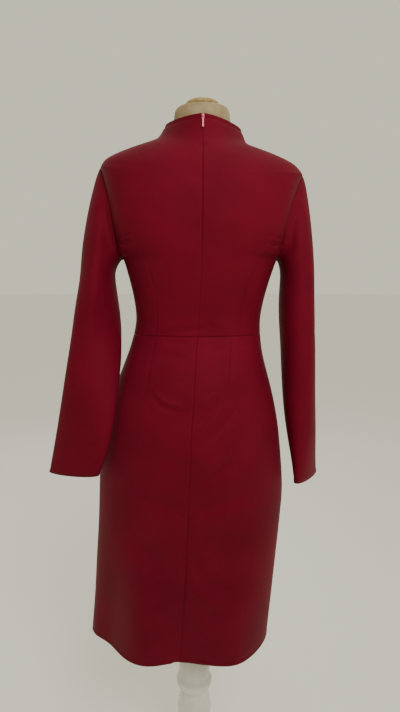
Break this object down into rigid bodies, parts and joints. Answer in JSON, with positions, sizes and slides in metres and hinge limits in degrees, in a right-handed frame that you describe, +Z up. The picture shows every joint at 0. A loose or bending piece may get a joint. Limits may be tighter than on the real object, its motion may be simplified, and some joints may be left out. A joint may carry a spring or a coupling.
{
  "type": "turtleneck midi dress on a dress form",
  "caption": "Long-sleeved fitted midi dress with a high funnel collar, back zip and back vent, standing on a limbless dress form with a turned pole.",
  "frame": {"origin": "on the floor, at the centre of the base's underside, on the axis of the form's pole", "axes": "+Z up; the dress faces -Y, so its back with the zip and the vent is on the +Y side; +X is the wearer's left"},
  "size_m": [0.5565, 0.31, 1.5055],
  "materials": {
    "dress_cloth": "smooth deep red crepe with a slight sheen",
    "zip_tape_cloth": "dark red woven zip tape",
    "zip_metal": "small bright zip slider and pull tab",
    "form_cloth": "cream linen stretched over the form",
    "cap_wood": "yellow-brown waxed wood",
    "stand_wood": "turned wood with white satin paint"
  },
  "bodies": {
    "dress_on_form": {"bodice_front": "dress_cloth", "bodice_back_left": "dress_cloth", "bodice_back_right": "dress_cloth", "bodice_side_back_left": "dress_cloth", "bodice_side_back_right": "dress_cloth", "skirt_front": "dress_cloth", "skirt_back_left": "dress_cloth", "skirt_back_right": "dress_cloth", "sleeve_left": "dress_cloth", "sleeve_right": "dress_cloth", "zip_tape": "zip_tape_cloth", "zip_slider": "zip_metal", "form_torso": "form_cloth", "form_cap": "cap_wood", "form_pole": "stand_wood", "form_base": "stand_wood"},
    "pull": {"zip_pull": "zip_metal"}
  },
  "joints": [
    {"name": "zip_pull_swing", "type": "hinge", "parent": "dress_on_form", "child": "pull", "pos_m": [-0.01841, 0.07621, 1.45839], "axis": [1, 0, 0], "range_deg": [0, 150]}
  ]
}
